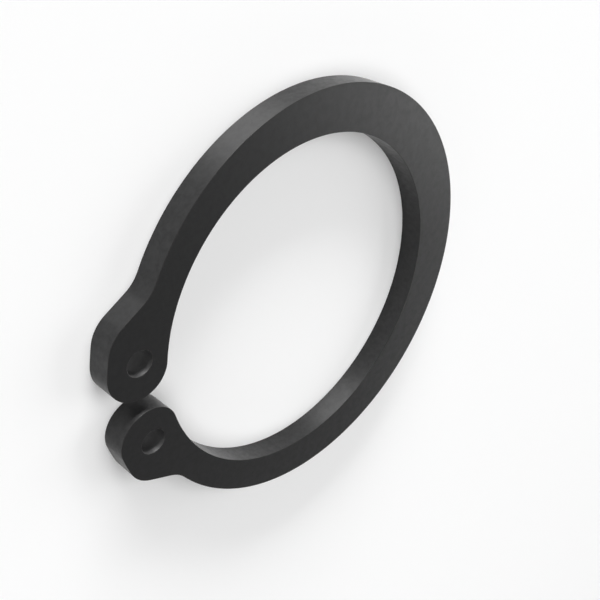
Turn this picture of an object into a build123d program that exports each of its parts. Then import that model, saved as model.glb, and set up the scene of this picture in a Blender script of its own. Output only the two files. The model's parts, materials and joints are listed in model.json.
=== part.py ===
from build123d import *
import math
import os

# External retaining ring (circlip) for a 15 mm shaft, blanked in one piece from spring steel strip.
# Millimetres. The ring lies flat: its underside is on Z = 0 and its axis on Z. The origin is the
# centre of the bore on the underside. The gap and the two plier lugs point to -Y and the widest
# part of the band to +Y. The ring is mirror-symmetric about the YZ plane.

# ---- band ----
bore_radius = 6.9  # inside of the unsprung ring, which grips the bottom of the shaft's groove
back_width = 2.17  # radial width of the band at its widest, opposite the gap
neck_width = 1.13  # radial width that the band has narrowed to at the gap
thickness = 1.0  # of the strip
edge_radius = 0.03  # every edge of both faces, eased by tumbling

# ---- lugs ----
lug_gap = 0.65  # between the ends of the two lugs
lug_height = 2.39  # radially, from the bore to the lug's outer side
lug_end_radius = 1.24  # outer round of the lug, beside the gap
lug_corner_radius = 1.34  # outer round of the lug, above its flank
lug_flank_lean = 26.9  # degrees that the flank leans towards the gap
lug_flank_offset = 1.66  # from the plier hole's centre to the flank
neck_fillet_radius = 1.43  # hollow between the flank and the band

# ---- plier holes ----
plier_hole_radius = 0.505
plier_hole_pitch = 3.55  # centre to centre, across the gap
plier_hole_inset = 1.14  # from the bore to the hole's centre

# ---- what follows from them ----
lug_radius = bore_radius + lug_height
outer_radius = bore_radius + (back_width + neck_width) / 2
bore_centre = Vector(0, 0)
outer_centre = Vector(0, (back_width - neck_width) / 2)


def towards(centre, radius, target):
    """Point at a radius from a centre, in the direction of a target."""
    return centre + (target - centre).normalized() * radius


def arc_about(centre, start, end):
    """Shorter arc about a centre, from one point to another."""
    middle = towards(centre, (start - centre).length, (start + end) / 2)
    return ThreePointArc(start, middle, end)


def hole_centre():
    """Centre of the plier hole on the +X side of the gap."""
    x = plier_hole_pitch / 2
    return Vector(x, -math.sqrt((bore_radius + plier_hole_inset) ** 2 - x**2))


def lug_end_centres():
    """Centres of the two rounds beside the gap, the outer one and the one that runs into the bore.

    The outer round touches the lug's outer side and the gap's edge. The inner round has the radius
    that lets it touch the bore and meet the outer round on the gap's edge.
    """
    gap_edge = lug_gap / 2
    outer_x = gap_edge + lug_end_radius
    y = -math.sqrt((lug_radius - lug_end_radius) ** 2 - outer_x**2)
    inner_radius = (y**2 + gap_edge**2 - bore_radius**2) / (2 * (bore_radius - gap_edge))
    return Vector(outer_x, y), Vector(gap_edge + inner_radius, y)


def flank_directions():
    """Outward normal of the lug's flank, and the way along it from the band to the lug's corner."""
    lean = math.radians(lug_flank_lean)
    return Vector(math.cos(lean), -math.sin(lean)), Vector(-math.sin(lean), -math.cos(lean))


def round_beside_flank(beyond, centre, reach):
    """Centre of a round that touches the flank and a circle.

    It lies a signed distance beyond the flank, and at a reach from the circle's centre.
    """
    normal, along = flank_directions()
    across = hole_centre().dot(normal) + lug_flank_offset + beyond
    sideways = across - centre.dot(normal)
    run = centre.dot(along) + math.sqrt(reach**2 - sideways**2)
    return normal * across + along * run


def half_outline():
    """Edges of the +X half of the outline, in order from the bore's back to the band's back."""
    normal, _ = flank_directions()
    end_outer, end_inner = lug_end_centres()
    corner = round_beside_flank(-lug_corner_radius, bore_centre, lug_radius - lug_corner_radius)
    hollow = round_beside_flank(neck_fillet_radius, outer_centre, outer_radius + neck_fillet_radius)

    bore_back = Vector(0, bore_radius)
    bore_end = towards(bore_centre, bore_radius, end_inner)
    gap_side = Vector(lug_gap / 2, end_outer.Y)
    lug_start = towards(bore_centre, lug_radius, end_outer)
    lug_end = towards(bore_centre, lug_radius, corner)
    flank_start = corner + normal * lug_corner_radius
    flank_end = hollow - normal * neck_fillet_radius
    neck = towards(outer_centre, outer_radius, hollow)
    band_back = outer_centre + Vector(0, outer_radius)

    return [
        arc_about(bore_centre, bore_back, bore_end),
        arc_about(end_inner, bore_end, gap_side),
        arc_about(end_outer, gap_side, lug_start),
        arc_about(bore_centre, lug_start, lug_end),
        arc_about(corner, lug_end, flank_start),
        Line(flank_start, flank_end),
        arc_about(hollow, flank_end, neck),
        arc_about(outer_centre, neck, band_back),
    ]


def make_ring():
    """The whole ring as one solid: the blank, its plier holes, then its eased edges."""
    half = half_outline()
    blank = extrude(make_face(half + [edge.mirror(Plane.YZ) for edge in half]), thickness)

    hole = hole_centre()
    punch = extrude(Circle(plier_hole_radius), thickness)
    blank -= Locations((hole.X, hole.Y), (-hole.X, hole.Y)) * punch

    by_height = blank.faces().sort_by(Axis.Z)
    return fillet(by_height[0].edges() + by_height[-1].edges(), edge_radius)


os.makedirs("parts", exist_ok=True)
export_step(make_ring(), "parts/ring.step")
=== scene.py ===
import json
import logging
import math
from dataclasses import dataclass, field
from enum import Enum

import bpy
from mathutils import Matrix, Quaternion, Vector
from mathutils.geometry import tessellate_polygon


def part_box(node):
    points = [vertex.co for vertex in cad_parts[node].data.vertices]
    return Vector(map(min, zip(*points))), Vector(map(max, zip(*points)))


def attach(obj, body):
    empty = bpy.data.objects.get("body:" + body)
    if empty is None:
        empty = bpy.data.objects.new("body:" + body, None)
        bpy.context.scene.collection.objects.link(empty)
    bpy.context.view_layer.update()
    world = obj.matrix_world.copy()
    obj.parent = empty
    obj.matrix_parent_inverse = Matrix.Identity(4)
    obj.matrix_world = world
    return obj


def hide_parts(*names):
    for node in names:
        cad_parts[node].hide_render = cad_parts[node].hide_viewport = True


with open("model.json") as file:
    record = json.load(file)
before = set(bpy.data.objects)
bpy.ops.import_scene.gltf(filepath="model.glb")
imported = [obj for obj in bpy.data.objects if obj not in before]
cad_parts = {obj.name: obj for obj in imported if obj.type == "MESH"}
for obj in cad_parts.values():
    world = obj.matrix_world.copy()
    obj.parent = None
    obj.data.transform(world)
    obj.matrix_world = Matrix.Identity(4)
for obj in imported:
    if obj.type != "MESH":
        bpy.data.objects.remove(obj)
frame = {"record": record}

LOG = logging.getLogger("retaining_ring")
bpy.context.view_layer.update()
MM = 0.001
NODE = "ring"
ORIGIN_2D = Vector((0.0, 0.0))
LEAST_ARC_STEPS = 6
UPRIGHT = 0.25


def mount(name: str) -> dict:
    """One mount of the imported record.

    Args:
        name: The mount's name.

    Returns:
        The record's entry, with its place in metres and its sizes in millimetres.
    """
    return next(m for m in frame["record"]["mounts"] if m["name"] == name)


def toward(centre: Vector, radius: float, target: Vector) -> Vector:
    """Point at a radius from a centre, in the direction of a target.

    Args:
        centre: Where the radius starts.
        radius: How far the point lies from it.
        target: The point that gives the direction.

    Returns:
        The new point.
    """
    return centre + (target - centre).normalized() * radius


@dataclass(frozen=True)
class Arc:
    """A round stretch of the outline, shorter than half a turn."""

    centre: Vector
    start: Vector
    end: Vector

    def sample(self, step: float) -> list[Vector]:
        """Evenly spaced points along the arc, its end left out.

        Args:
            step: The longest distance wanted between two points, in metres.

        Returns:
            The points, in order from the arc's start.
        """
        first, last = self.start - self.centre, self.end - self.centre
        begin = math.atan2(first.y, first.x)
        turn = math.atan2(first.cross(last), first.dot(last))
        count = max(LEAST_ARC_STEPS, math.ceil(abs(turn) * first.length / step))
        angles = [begin + turn * i / count for i in range(count)]
        return [self.centre + first.length * Vector((math.cos(a), math.sin(a))) for a in angles]


@dataclass(frozen=True)
class Straight:
    """A straight stretch of the outline."""

    start: Vector
    end: Vector

    def sample(self, step: float) -> list[Vector]:
        """Evenly spaced points along the stretch, its end left out.

        Args:
            step: The longest distance wanted between two points, in metres.

        Returns:
            The points, in order from the stretch's start.
        """
        count = max(1, math.ceil((self.end - self.start).length / step))
        return [self.start.lerp(self.end, i / count) for i in range(count)]


@dataclass
class RingOutline:
    """The ring's outline from above, with the gap towards -Y.

    The bore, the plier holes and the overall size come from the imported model. The lug's own rounds
    are given here, as on the drawing.
    """

    lug_gap: float = 0.65 * MM
    lug_end_radius: float = 1.24 * MM
    lug_corner_radius: float = 1.34 * MM
    lug_flank_lean: float = math.radians(26.9)
    lug_flank_offset: float = 1.66 * MM
    neck_fillet_radius: float = 1.43 * MM
    step: float = 0.12 * MM
    hole_steps: int = 72
    bore_radius: float = field(init=False)
    outer_radius: float = field(init=False)
    outer_centre: Vector = field(init=False)
    lug_radius: float = field(init=False)
    hole_centre: Vector = field(init=False)
    hole_radius: float = field(init=False)

    def __post_init__(self) -> None:
        """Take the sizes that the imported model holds."""
        low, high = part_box(NODE)
        self.bore_radius = mount("shaft_grip")["dims"]["r_mm"] * MM
        self.outer_radius = (high.x - low.x) / 2
        self.outer_centre = Vector((0.0, high.y - self.outer_radius))
        end_x = self.lug_gap / 2 + self.lug_end_radius
        end_y = -low.y - self.lug_end_radius
        self.lug_radius = math.hypot(end_x, end_y) + self.lug_end_radius
        hole = mount("plier_hole_right")
        self.hole_centre = Vector(hole["pos_m"][:2])
        self.hole_radius = hole["dims"]["r_mm"] * MM

    def end_centres(self) -> tuple[Vector, Vector]:
        """Centres of the two rounds beside the gap.

        Returns:
            The outer round's centre, then that of the round that runs into the bore.
        """
        gap_edge = self.lug_gap / 2
        outer_x = gap_edge + self.lug_end_radius
        y = -math.sqrt((self.lug_radius - self.lug_end_radius) ** 2 - outer_x**2)
        spare = y**2 + gap_edge**2 - self.bore_radius**2
        inner_radius = spare / (2 * (self.bore_radius - gap_edge))
        return Vector((outer_x, y)), Vector((gap_edge + inner_radius, y))

    def flank_normal(self) -> Vector:
        """Outward normal of the lug's flank."""
        return Vector((math.cos(self.lug_flank_lean), -math.sin(self.lug_flank_lean)))

    def beside_flank(self, beyond: float, centre: Vector, reach: float) -> Vector:
        """Centre of a round that touches the flank and a circle.

        Args:
            beyond: How far the round's centre lies outside the flank.
            centre: The circle's centre.
            reach: The distance between the two centres.

        Returns:
            The round's centre.
        """
        normal = self.flank_normal()
        along = Vector((normal.y, -normal.x))
        across = self.hole_centre.dot(normal) + self.lug_flank_offset + beyond
        sideways = across - centre.dot(normal)
        run = centre.dot(along) + math.sqrt(reach**2 - sideways**2)
        return normal * across + along * run

    def half(self) -> list[Arc | Straight]:
        """The stretches of the outline on the +X side.

        Returns:
            The stretches in order, from the bore's back round the lug to the band's back.
        """
        normal = self.flank_normal()
        end_outer, end_inner = self.end_centres()
        corner = self.beside_flank(
            -self.lug_corner_radius, ORIGIN_2D, self.lug_radius - self.lug_corner_radius
        )
        hollow = self.beside_flank(
            self.neck_fillet_radius, self.outer_centre, self.outer_radius + self.neck_fillet_radius
        )
        bore_end = toward(ORIGIN_2D, self.bore_radius, end_inner)
        gap_side = Vector((self.lug_gap / 2, end_outer.y))
        lug_start = toward(ORIGIN_2D, self.lug_radius, end_outer)
        lug_end = toward(ORIGIN_2D, self.lug_radius, corner)
        flank_start = corner + normal * self.lug_corner_radius
        flank_end = hollow - normal * self.neck_fillet_radius
        neck = toward(self.outer_centre, self.outer_radius, hollow)
        return [
            Arc(ORIGIN_2D, Vector((0.0, self.bore_radius)), bore_end),
            Arc(end_inner, bore_end, gap_side),
            Arc(end_outer, gap_side, lug_start),
            Arc(ORIGIN_2D, lug_start, lug_end),
            Arc(corner, lug_end, flank_start),
            Straight(flank_start, flank_end),
            Arc(hollow, flank_end, neck),
            Arc(self.outer_centre, neck, self.outer_centre + Vector((0.0, self.outer_radius))),
        ]

    def loop(self) -> list[Vector]:
        """The whole outline as one closed loop.

        Returns:
            Its points in order, with the solid on the left of the way they run.
        """
        right = [p for stretch in self.half() for p in stretch.sample(self.step)]
        back = self.outer_centre + Vector((0.0, self.outer_radius))
        left = [Vector((-p.x, p.y)) for p in reversed(right[1:])]
        return right + [back] + left

    def hole_loop(self, side: int) -> list[Vector]:
        """One plier hole's edge, clockwise seen from above.

        Args:
            side: 1 for the hole on the +X side of the gap, -1 for the other.

        Returns:
            Evenly spaced points round the hole.
        """
        centre = Vector((side * self.hole_centre.x, self.hole_centre.y))
        angles = [-math.tau * i / self.hole_steps for i in range(self.hole_steps)]
        return [centre + self.hole_radius * Vector((math.cos(a), math.sin(a))) for a in angles]


class Surface(Enum):
    """The kinds of surface on a ring that is punched from rolled strip and blackened."""

    ROLLED_FACE = 0
    SHEARED_EDGE = 1
    PUNCHED_BORE_PAINTED_LIGHT = 2


def group_tree(
    name: str, inputs: dict[str, float], outputs: tuple[str, ...]
) -> bpy.types.NodeTree:
    """Start a shader node group with named number sockets.

    Args:
        name: The group's name.
        inputs: Each input's name and first value.
        outputs: The names of the outputs.

    Returns:
        The group, with its input and output nodes in it.
    """
    tree = bpy.data.node_groups.new(name, "ShaderNodeTree")
    for label, value in inputs.items():
        socket = tree.interface.new_socket(label, in_out="INPUT", socket_type="NodeSocketFloat")
        socket.default_value = value
    for label in outputs:
        tree.interface.new_socket(label, in_out="OUTPUT", socket_type="NodeSocketFloat")
    tree.nodes.new("NodeGroupInput")
    tree.nodes.new("NodeGroupOutput")
    return tree


@dataclass
class NodeBench:
    """Short calls that add nodes to one tree and wire them up."""

    tree: bpy.types.NodeTree

    def add(self, kind: str, **settings: object) -> bpy.types.Node:
        """Add a node of one kind.

        Args:
            kind: The node's type, without its Shader Node prefix.
            settings: Its own settings by name.

        Returns:
            The node.
        """
        node = self.tree.nodes.new("ShaderNode" + kind)
        for key, value in settings.items():
            setattr(node, key, value)
        return node

    def feed(self, source: object, target: bpy.types.NodeSocket) -> None:
        """Link a socket to an input, or set the input to a value.

        Args:
            source: A socket, a number or a colour.
            target: The input it goes to.
        """
        if isinstance(source, bpy.types.NodeSocket):
            self.tree.links.new(source, target)
        else:
            target.default_value = source

    def math(self, operation: str, *operands: object) -> bpy.types.NodeSocket:
        """Do one sum on numbers or sockets.

        Args:
            operation: The Math node's operation.
            operands: Sockets or numbers, in the order of the node's inputs.

        Returns:
            The result's socket.
        """
        node = self.add("Math", operation=operation)
        for operand, target in zip(operands, node.inputs):
            self.feed(operand, target)
        return node.outputs[0]

    def spread(
        self, value: object, low: object, high: object, to_low: object, to_high: object
    ) -> bpy.types.NodeSocket:
        """Map a value from one range to another and hold it there.

        Args:
            value: The value's socket.
            low: Where the first range starts.
            high: Where it ends.
            to_low: What the first range's start becomes.
            to_high: What its end becomes.

        Returns:
            The result's socket.
        """
        node = self.add("MapRange", clamp=True)
        for operand, target in zip((value, low, high, to_low, to_high), node.inputs):
            self.feed(operand, target)
        return node.outputs["Result"]

    def place(self, across: object, along_axis: object) -> bpy.types.NodeSocket:
        """The surface point, scaled for a texture.

        Args:
            across: The number of texture features per millimetre along X and Y.
            along_axis: The same along Z.

        Returns:
            The scaled point's socket.
        """
        point = self.add("TexCoord").outputs["Object"]
        scale = self.add("CombineXYZ")
        per_metre = [self.math("MULTIPLY", density, 1 / MM) for density in (across, along_axis)]
        for source, target in zip((per_metre[0], per_metre[0], per_metre[1]), scale.inputs):
            self.feed(source, target)
        node = self.add("VectorMath", operation="MULTIPLY")
        self.feed(point, node.inputs[0])
        self.feed(scale.outputs[0], node.inputs[1])
        return node.outputs[0]

    def noise(
        self, place: object, detail: float, roughness: float, distortion: float = 0.0
    ) -> bpy.types.NodeSocket:
        """Cloud noise at a scaled point.

        Args:
            place: The point's socket.
            detail: The number of finer layers.
            roughness: How strong each finer layer is beside the one before it.
            distortion: How far the clouds are pulled out of shape.

        Returns:
            The noise's socket, from 0 to 1.
        """
        node = self.add("TexNoise")
        self.feed(place, node.inputs["Vector"])
        values = {"Scale": 1.0, "Detail": detail, "Roughness": roughness, "Distortion": distortion}
        for label, value in values.items():
            node.inputs[label].default_value = value
        return node.outputs["Fac"]

    def blend(self, mask: object, first: object, second: object) -> bpy.types.NodeSocket:
        """Mix two colours by a mask.

        Args:
            mask: The mask's socket: 0 gives the first colour and 1 the second.
            first: A colour or a colour socket.
            second: The same.

        Returns:
            The mixed colour's socket.
        """
        node = self.add("Mix", data_type="RGBA")
        self.feed(mask, node.inputs["Factor"])
        colours = [socket for socket in node.inputs if socket.type == "RGBA"]
        self.feed(first, colours[0])
        self.feed(second, colours[1])
        return next(socket for socket in node.outputs if socket.type == "RGBA")

    def group(self, tree: bpy.types.NodeTree, values: dict[str, object]) -> bpy.types.Node:
        """Place a group in the tree with its own values.

        Args:
            tree: The group.
            values: The value or socket for each input by name.

        Returns:
            The group's node.
        """
        node = self.add("Group", node_tree=tree)
        for label, value in values.items():
            self.feed(value, node.inputs[label])
        return node


def oxide_clouds() -> bpy.types.NodeTree:
    """Make the group for the soft clouds of a heat-blackened skin.

    Returns:
        The group, which puts out the clouds as a mask from 0 to 1.
    """
    tree = group_tree("oxide_clouds", {"Per Millimetre": 3.0, "Spread": 0.16}, ("Clouds",))
    bench = NodeBench(tree)
    given, out = tree.nodes["Group Input"].outputs, tree.nodes["Group Output"].inputs
    place = bench.place(given["Per Millimetre"], given["Per Millimetre"])
    cloud = bench.noise(place, detail=5.0, roughness=0.6, distortion=0.4)
    middle = 0.5
    low = bench.math("SUBTRACT", middle, given["Spread"])
    high = bench.math("ADD", middle, given["Spread"])
    bench.feed(bench.spread(cloud, low, high, 0.0, 1.0), out["Clouds"])
    return tree


def tool_grain() -> bpy.types.NodeTree:
    """Make the group for the fine lines and pits that rolling, shearing and tumbling leave.

    Returns:
        The group, which puts out the surface's height, from 0 to 1 where there are no pits.
    """
    inputs = {"Across Per Millimetre": 14.0, "Upright Per Millimetre": 14.0, "Pits": 0.3}
    tree = group_tree("tool_grain", inputs, ("Height",))
    bench = NodeBench(tree)
    given, out = tree.nodes["Group Input"].outputs, tree.nodes["Group Output"].inputs
    grain = bench.place(given["Across Per Millimetre"], given["Upright Per Millimetre"])
    lines = bench.noise(grain, detail=3.0, roughness=0.5)
    specks_per_mm = 22.0
    specks = bench.noise(bench.place(specks_per_mm, specks_per_mm), detail=2.0, roughness=0.5)
    pit_floor, pit_rim = 0.28, 0.42
    pits = bench.math("MULTIPLY", bench.spread(specks, pit_floor, pit_rim, 1.0, 0.0), given["Pits"])
    bench.feed(bench.math("SUBTRACT", lines, pits), out["Height"])
    return tree


def edge_rub() -> bpy.types.NodeTree:
    """Make the group for corners that tumbling and handling have rubbed.

    Returns:
        The group, which puts out the rubbed places as a mask from 0 to 1.
    """
    tree = group_tree("edge_rub", {"Breakup Per Millimetre": 4.0, "Amount": 0.5}, ("Rubbed",))
    bench = NodeBench(tree)
    given, out = tree.nodes["Group Input"].outputs, tree.nodes["Group Output"].inputs
    exposed = bench.add("Attribute", attribute_name="exposed_edge").outputs["Fac"]
    place = bench.place(given["Breakup Per Millimetre"], given["Breakup Per Millimetre"])
    breakup = bench.noise(place, detail=3.0, roughness=0.6)
    patchy_from, patchy_to, least_rub = 0.3, 0.6, 0.6
    patches = bench.spread(breakup, patchy_from, patchy_to, least_rub, 1.0)
    falloff = 3.0
    edge = bench.math("MULTIPLY", bench.math("POWER", exposed, falloff), patches)
    bench.feed(bench.math("MULTIPLY", edge, given["Amount"]), out["Rubbed"])
    return tree


@dataclass(frozen=True)
class BlackedSteel:
    """Heat-blackened spring steel under a thin film of oil, as one kind of surface shows it.

    An anisotropy above 0 stretches the highlights upwards, as the upright lines of a cut edge do.
    """

    surface: Surface
    skin: tuple[float, float, float]
    clouded: tuple[float, float, float]
    roughness: float
    cloud_roughness: float
    clouds_per_mm: float
    grain_across: float
    grain_upright: float
    grain_depth: float
    pits: float
    rubbed: tuple[float, float, float] = (0.013, 0.0128, 0.0126)
    rub: float = 1.0
    rub_roughness: float = 0.06
    ior: float = 1.5
    anisotropy: float = 0.0
    oil_film: float = 0.0
    oil_roughness: float = 0.12
    oil_ior: float = 1.22

    def build(self, groups: dict[str, bpy.types.NodeTree]) -> bpy.types.Material:
        """Make the material.

        Args:
            groups: The shared effects by name.

        Returns:
            The material.
        """
        material = bpy.data.materials.new(self.surface.name.lower())
        material.use_nodes = True
        bench = NodeBench(material.node_tree)
        shader = material.node_tree.nodes["Principled BSDF"]
        cloud_values = {"Per Millimetre": self.clouds_per_mm}
        clouds = bench.group(groups["clouds"], cloud_values).outputs["Clouds"]
        rubbed = bench.group(groups["rub"], {"Amount": self.rub}).outputs["Rubbed"]
        grain_values = {
            "Across Per Millimetre": self.grain_across,
            "Upright Per Millimetre": self.grain_upright,
            "Pits": self.pits,
        }
        grain = bench.group(groups["grain"], grain_values).outputs["Height"]
        skin = bench.blend(clouds, (*self.skin, 1.0), (*self.clouded, 1.0))
        bench.feed(bench.blend(rubbed, skin, (*self.rubbed, 1.0)), shader.inputs["Base Color"])
        low, high = self.roughness - self.cloud_roughness, self.roughness + self.cloud_roughness
        skin_roughness = bench.spread(clouds, 0.0, 1.0, high, low)
        rub_roughness = bench.math("MULTIPLY", rubbed, self.rub_roughness)
        bench.feed(bench.math("ADD", skin_roughness, rub_roughness), shader.inputs["Roughness"])
        bump = bench.add("Bump")
        bump.inputs["Distance"].default_value = self.grain_depth * MM
        bench.feed(grain, bump.inputs["Height"])
        bench.feed(bump.outputs["Normal"], shader.inputs["Normal"])
        shader.inputs["IOR"].default_value = self.ior
        shader.inputs["Coat Weight"].default_value = self.oil_film
        shader.inputs["Coat Roughness"].default_value = self.oil_roughness
        shader.inputs["Coat IOR"].default_value = self.oil_ior
        if self.anisotropy:
            shader.inputs["Anisotropic"].default_value = self.anisotropy
            shader.inputs["Anisotropic Rotation"].default_value = UPRIGHT
            along = bench.add("Tangent", direction_type="RADIAL", axis="Z")
            bench.feed(along.outputs["Tangent"], shader.inputs["Tangent"])
        return material


@dataclass
class RingBody:
    """The ring's one solid: flat faces, upright cut walls and edges eased all round."""

    outline: RingOutline
    name: str = "retaining_ring"
    edge_radius: float = 0.01 * MM
    edge_steps: int = 5
    wall_steps: int = 8
    face_bands: tuple[float, ...] = (0.16 * MM, 0.08 * MM)
    bottom: float = field(init=False)
    top: float = field(init=False)
    vertices: list[Vector] = field(default_factory=list, init=False)
    normals: list[Vector] = field(default_factory=list, init=False)
    wear: list[float] = field(default_factory=list, init=False)
    faces: list[tuple[int, ...]] = field(default_factory=list, init=False)
    face_slots: list[int] = field(default_factory=list, init=False)

    def __post_init__(self) -> None:
        """Take the strip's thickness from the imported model."""
        low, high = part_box(NODE)
        self.bottom, self.top = low.z, high.z

    def section(self) -> list[tuple[float, float, float, float, float]]:
        """The section of one cut edge, from the top face round the wall to the bottom face.

        Returns:
            For each row its offset out of the outline, its height, the outward and upward parts of
            its normal, and how exposed to wear it is, from 0 to 1.
        """
        radius = self.edge_radius
        reach = self.face_bands[0]
        rows = [(-band, self.top, 0.0, 1.0, 1.0 - band / reach) for band in self.face_bands]
        quarter = [math.pi / 2 * i / self.edge_steps for i in range(self.edge_steps + 1)]
        for a in quarter:
            out, up = math.sin(a), math.cos(a)
            rows.append((radius * (out - 1), self.top - radius * (1 - up), out, up, 1.0))
        height = self.top - self.bottom - 2 * radius
        for i in range(1, self.wall_steps):
            down = height * i / self.wall_steps
            near = min(down, height - down)
            rows.append((0.0, self.top - radius - down, 1.0, 0.0, max(0.0, 1.0 - near / reach)))
        for a in reversed(quarter):
            out, up = math.sin(a), math.cos(a)
            rows.append((radius * (out - 1), self.bottom + radius * (1 - up), out, -up, 1.0))
        for band in reversed(self.face_bands):
            rows.append((-band, self.bottom, 0.0, -1.0, 1.0 - band / reach))
        return rows

    def add_edge(self, loop: list[Vector], cut: Surface) -> tuple[list[int], list[int]]:
        """Add the cut edge along one closed loop, with the solid on the loop's left.

        Args:
            loop: The loop's points.
            cut: The kind of surface that the cut left.

        Returns:
            The vertices of the edge's first row, on the top face, and of its last, on the bottom.
        """
        count, start = len(loop), len(self.vertices)
        rows = self.section()
        for i, point in enumerate(loop):
            along = (loop[(i + 1) % count] - loop[i - 1]).normalized()
            outward = Vector((along.y, -along.x))
            for out, height, side, up, exposed in rows:
                place = point + outward * out
                self.vertices.append(Vector((place.x, place.y, height)))
                self.normals.append(Vector((outward.x * side, outward.y * side, up)))
                self.wear.append(exposed)
        n = len(rows)
        bands = len(self.face_bands)
        for i in range(count):
            here, there = start + i * n, start + (i + 1) % count * n
            for row in range(n - 1):
                self.faces.append((here + row, here + row + 1, there + row + 1, there + row))
                on_face = row < bands or row >= n - 1 - bands
                self.face_slots.append((Surface.ROLLED_FACE if on_face else cut).value)
        first = [start + i * n for i in range(count)]
        return first, [v + n - 1 for v in first]

    def add_face(self, loops: list[list[int]], upward: bool) -> None:
        """Close one flat face between the ring's edge and its holes.

        Args:
            loops: The vertices round the face and round each hole in it.
            upward: Whether it is the top face.
        """
        flat = [v for loop in loops for v in loop]
        for triangle in tessellate_polygon([[self.vertices[v] for v in loop] for loop in loops]):
            a, b, c = (flat[i] for i in triangle)
            side = (self.vertices[b] - self.vertices[a]).cross(self.vertices[c] - self.vertices[a]).z
            self.faces.append((a, b, c) if (side > 0) == upward else (a, c, b))
            self.face_slots.append(Surface.ROLLED_FACE.value)

    def build(self, materials: list[bpy.types.Material]) -> bpy.types.Object:
        """Make the mesh.

        Args:
            materials: The finishes, in the order of their surfaces' numbers.

        Returns:
            The ring, riding on the part's one body and standing for its CAD node.
        """
        holes = [self.outline.hole_loop(side) for side in (1, -1)]
        ends = [self.add_edge(self.outline.loop(), Surface.SHEARED_EDGE)]
        ends += [self.add_edge(hole, Surface.PUNCHED_BORE_PAINTED_LIGHT) for hole in holes]
        self.add_face([first for first, _ in ends], upward=True)
        self.add_face([last for _, last in ends], upward=False)
        mesh = bpy.data.meshes.new(self.name)
        mesh.from_pydata(self.vertices, [], self.faces)
        for material in materials:
            mesh.materials.append(material)
        mesh.polygons.foreach_set("material_index", self.face_slots)
        mesh.polygons.foreach_set("use_smooth", [True] * len(self.faces))
        exposed = mesh.attributes.new("exposed_edge", "FLOAT", "POINT")
        exposed.data.foreach_set("value", self.wear)
        mesh.normals_split_custom_set_from_vertices(self.normals)
        ring = bpy.data.objects.new(self.name, mesh)
        bpy.context.scene.collection.objects.link(ring)
        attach(ring, "root")
        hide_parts(NODE)
        return ring


@dataclass
class StudioCamera:
    """A normal lens that looks down at the ring, turned about its own axis.

    It aims at a point a hair beside the ring's middle.
    """

    middle: Vector
    aside: Vector = field(default_factory=lambda: Vector((0.0015, -0.0227, 0.0)) * MM)
    azimuth: float = math.radians(-45.796)
    elevation: float = math.radians(35.649)
    roll: float = math.radians(119.467)
    distance: float = 32.881 * MM
    lens_mm: float = 50.0
    sensor_mm: float = 36.0
    clip: tuple[float, float] = (1 * MM, 10.0)

    def build(self) -> bpy.types.Object:
        """Make the camera and give it to the scene.

        Returns:
            The camera.
        """
        back = Vector((
            math.sin(self.azimuth) * math.cos(self.elevation),
            -math.cos(self.azimuth) * math.cos(self.elevation),
            math.sin(self.elevation),
        ))
        data = bpy.data.cameras.new("studio_camera")
        data.lens, data.sensor_width = self.lens_mm, self.sensor_mm
        data.clip_start, data.clip_end = self.clip
        camera = bpy.data.objects.new("studio_camera", data)
        camera.rotation_mode = "QUATERNION"
        camera.location = self.middle + self.aside + back * self.distance
        upright = (-back).to_track_quat("-Z", "Y")
        camera.rotation_quaternion = upright @ Quaternion((0.0, 0.0, 1.0), self.roll)
        bpy.context.scene.collection.objects.link(camera)
        bpy.context.scene.camera = camera
        return camera


@dataclass(frozen=True)
class PaperFloor:
    """Matt white paper that the ring lies on."""

    colour: tuple[float, float, float] = (0.96, 0.96, 0.96)
    half_side: float = 0.5

    def build(self, height: float) -> bpy.types.Object:
        """Lay the paper.

        Args:
            height: The height of the ring's underside.

        Returns:
            The floor, which isn't part of the ring.
        """
        material = bpy.data.materials.new("white_paper")
        material.use_nodes = True
        bench = NodeBench(material.node_tree)
        material.node_tree.nodes.remove(material.node_tree.nodes["Principled BSDF"])
        paper = bench.add("BsdfDiffuse")
        paper.inputs["Color"].default_value = (*self.colour, 1.0)
        bench.feed(paper.outputs[0], material.node_tree.nodes["Material Output"].inputs["Surface"])
        mesh = bpy.data.meshes.new("paper_floor")
        half = self.half_side
        corners = [(x * half, y * half, height) for x, y in ((-1, -1), (1, -1), (1, 1), (-1, 1))]
        mesh.from_pydata(corners, [], [range(4)])
        mesh.materials.append(material)
        floor = bpy.data.objects.new("paper_floor", mesh)
        bpy.context.scene.collection.objects.link(floor)
        return floor


@dataclass(frozen=True)
class RoomLight:
    """A pale room: near white at the level of the floor and dim overhead."""

    horizon: float = 0.9
    overhead: float = 0.03
    pale_to: float = math.radians(8)
    dim_from: float = math.radians(28)

    def build(self) -> None:
        """Make the world."""
        world = bpy.data.worlds.new("pale_room")
        world.use_nodes = True
        bench = NodeBench(world.node_tree)
        split = bench.add("SeparateXYZ")
        bench.feed(bench.add("TexCoord").outputs["Generated"], split.inputs[0])
        ends = (math.sin(self.pale_to), math.sin(self.dim_from), self.horizon, self.overhead)
        room = world.node_tree.nodes["Background"]
        room.inputs["Color"].default_value = (1.0, 1.0, 1.0, 1.0)
        bench.feed(bench.spread(split.outputs["Z"], *ends), room.inputs["Strength"])
        bpy.context.scene.world = world


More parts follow.
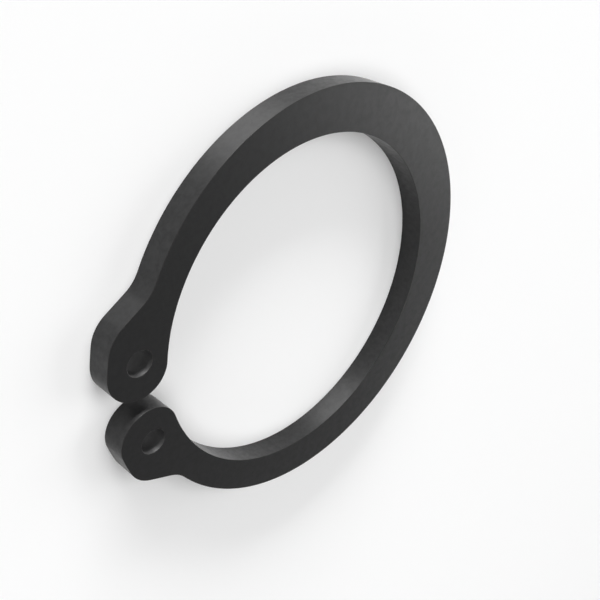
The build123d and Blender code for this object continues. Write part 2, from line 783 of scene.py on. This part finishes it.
@dataclass(frozen=True)
class SoftBox:
    """A square-cornered soft box, seen from the ring at a bearing and a height above the floor.

    The bearing and the angles it fills are in degrees, and the brightness is that of its face.
    """

    name: str
    bearing: float
    height: float
    wide: float
    tall: float
    brightness: float
    distance: float = 1.0

    def build(self, target: Vector) -> bpy.types.Object:
        """Hang the soft box.

        Args:
            target: The point it faces.

        Returns:
            The lamp.
        """
        bearing, height = math.radians(self.bearing), math.radians(self.height)
        away = Vector((
            math.cos(bearing) * math.cos(height),
            math.sin(bearing) * math.cos(height),
            math.sin(height),
        ))
        data = bpy.data.lights.new(self.name, "AREA")
        data.shape = "RECTANGLE"
        data.size = 2 * self.distance * math.tan(math.radians(self.wide) / 2)
        data.size_y = 2 * self.distance * math.tan(math.radians(self.tall) / 2)
        data.energy = self.brightness * math.pi * data.size * data.size_y
        lamp = bpy.data.objects.new(self.name, data)
        lamp.rotation_mode = "QUATERNION"
        lamp.location = target + away * self.distance
        lamp.rotation_quaternion = (-away).to_track_quat("-Z", "Y")
        lamp.visible_camera = False
        bpy.context.scene.collection.objects.link(lamp)
        return lamp


ROLLED_FACE = BlackedSteel(
    surface=Surface.ROLLED_FACE,
    skin=(0.0125, 0.0125, 0.0128),
    clouded=(0.0205, 0.0205, 0.0208),
    roughness=0.36,
    cloud_roughness=0.05,
    clouds_per_mm=3.0,
    grain_across=9.0,
    grain_upright=9.0,
    grain_depth=0.0012,
    pits=0.4,
)
SHEARED_EDGE = BlackedSteel(
    surface=Surface.SHEARED_EDGE,
    skin=(0.0095, 0.0095, 0.0097),
    clouded=(0.0145, 0.0145, 0.0148),
    roughness=0.5,
    cloud_roughness=0.06,
    clouds_per_mm=4.5,
    grain_across=10.0,
    grain_upright=5.0,
    grain_depth=0.0012,
    pits=0.4,
    ior=1.4,
    anisotropy=0.9,
    oil_film=0.5,
)
PUNCHED_BORE_PAINTED_LIGHT = BlackedSteel(
    surface=Surface.PUNCHED_BORE_PAINTED_LIGHT,
    # The skin and clouded colours here are painted lighter than the rest of the steel: painted light,
    # standing in for light reflected into the plier holes.
    skin=(0.045, 0.045, 0.0455),
    clouded=(0.06, 0.06, 0.0605),
    roughness=0.5,
    cloud_roughness=0.05,
    clouds_per_mm=3.0,
    grain_across=12.0,
    grain_upright=3.0,
    grain_depth=0.0015,
    pits=0.3,
    ior=1.7,
    anisotropy=0.6,
)
SOFT_BOXES = (
    SoftBox("overhead_soft_box", bearing=-136.0, height=75.0, wide=84.0, tall=54.0, brightness=1.74),
    SoftBox("side_strip", bearing=176.0, height=7.0, wide=34.0, tall=13.0, brightness=40.0),
    SoftBox("far_panel", bearing=84.0, height=28.0, wide=40.0, tall=30.0, brightness=2.2),
    SoftBox("far_strip", bearing=54.0, height=2.0, wide=24.0, tall=4.0, brightness=16.0),
)


def main() -> None:
    """Build the ring, dress it, and set the studio round it."""
    logging.basicConfig(level=logging.INFO, format="%(name)s: %(message)s")
    groups = {"clouds": oxide_clouds(), "grain": tool_grain(), "rub": edge_rub()}
    finishes = (ROLLED_FACE, SHEARED_EDGE, PUNCHED_BORE_PAINTED_LIGHT)
    finishes = sorted(finishes, key=lambda finish: finish.surface.value)
    body = RingBody(RingOutline())
    ring = body.build([finish.build(groups) for finish in finishes])
    LOG.info("%s: %d vertices, %d faces", ring.name, len(ring.data.vertices), len(ring.data.polygons))
    middle = Vector((0.0, 0.0, (body.bottom + body.top) / 2))
    PaperFloor().build(body.bottom)
    RoomLight().build()
    for box in SOFT_BOXES:
        LOG.info("%s: lamp", box.build(middle).name)
    StudioCamera(middle).build()
    bpy.context.scene.view_settings.view_transform = "Standard"


if __name__ == "__main__":
    main()
